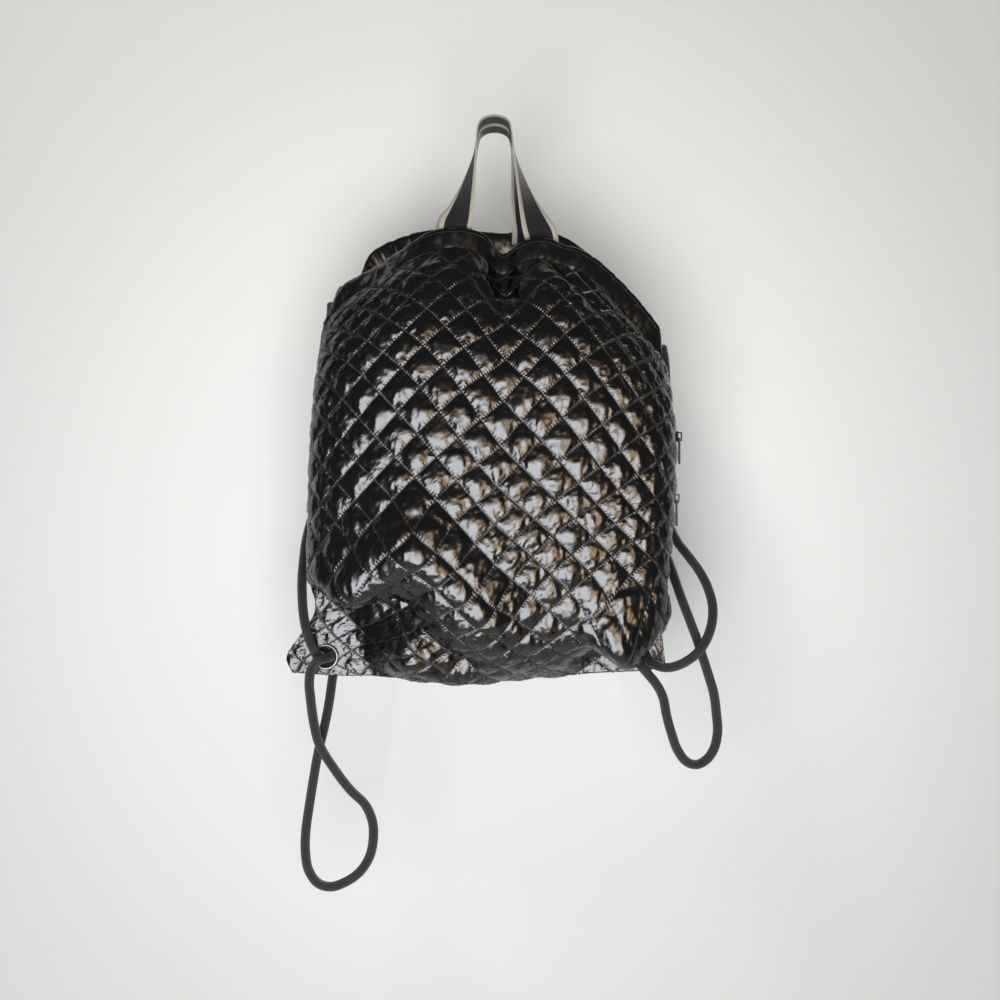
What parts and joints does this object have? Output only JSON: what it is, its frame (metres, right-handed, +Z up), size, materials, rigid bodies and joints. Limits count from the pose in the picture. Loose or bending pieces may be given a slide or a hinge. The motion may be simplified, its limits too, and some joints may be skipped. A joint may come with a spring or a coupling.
{
  "type": "quilted drawstring backpack",
  "caption": "Soft drawstring backpack of diamond-quilted padded nylon, with striped webbing handles, round cord straps through corner eyelets and a zip in the side seam.",
  "frame": {"origin": "the point under the two handles where they hang from a hook", "axes": "+Z up, +X to the right as seen from the quilted front, +Y towards the back"},
  "size_m": [0.4194, 0.1494, 0.7449],
  "materials": {
    "quilted_nylon": "glossy coated nylon, quilted over wadding",
    "casing_nylon": "the same nylon, plain and gathered",
    "striped_webbing": "woven cream borders with a black centre stripe",
    "braided_cord": "matte braid",
    "eyelet_metal": "dark gunmetal",
    "zip_tape": "woven tape with a closed nylon coil",
    "zip_metal": "satin black lacquer"
  },
  "bodies": {
    "bag": {"front_panel": "quilted_nylon", "back_panel": "quilted_nylon", "front_channel": "casing_nylon", "back_channel": "casing_nylon", "front_handle": "striped_webbing", "back_handle": "striped_webbing", "left_eyelet": "eyelet_metal", "right_eyelet": "eyelet_metal", "left_cord_upper": "braided_cord", "left_cord_loop": "braided_cord", "right_cord_upper": "braided_cord", "right_cord_loop": "braided_cord", "left_knot": "braided_cord", "right_knot": "braided_cord", "side_zip": "zip_tape", "upper_slider": "zip_metal", "lower_slider": "zip_metal"},
    "upper_pull": {"upper_pull": "zip_metal"},
    "lower_pull": {"lower_pull": "zip_metal"}
  },
  "joints": [
    {"name": "upper_pull_swing", "type": "hinge", "parent": "bag", "child": "upper_pull", "pos_m": [0.17791, 0.00015, -0.30432], "axis": [0, -1, 0], "range_deg": [0, 170]},
    {"name": "lower_pull_swing", "type": "hinge", "parent": "bag", "child": "lower_pull", "pos_m": [0.17529, 0.00058, -0.36439], "axis": [0, -1, 0], "range_deg": [0, 170]}
  ]
}
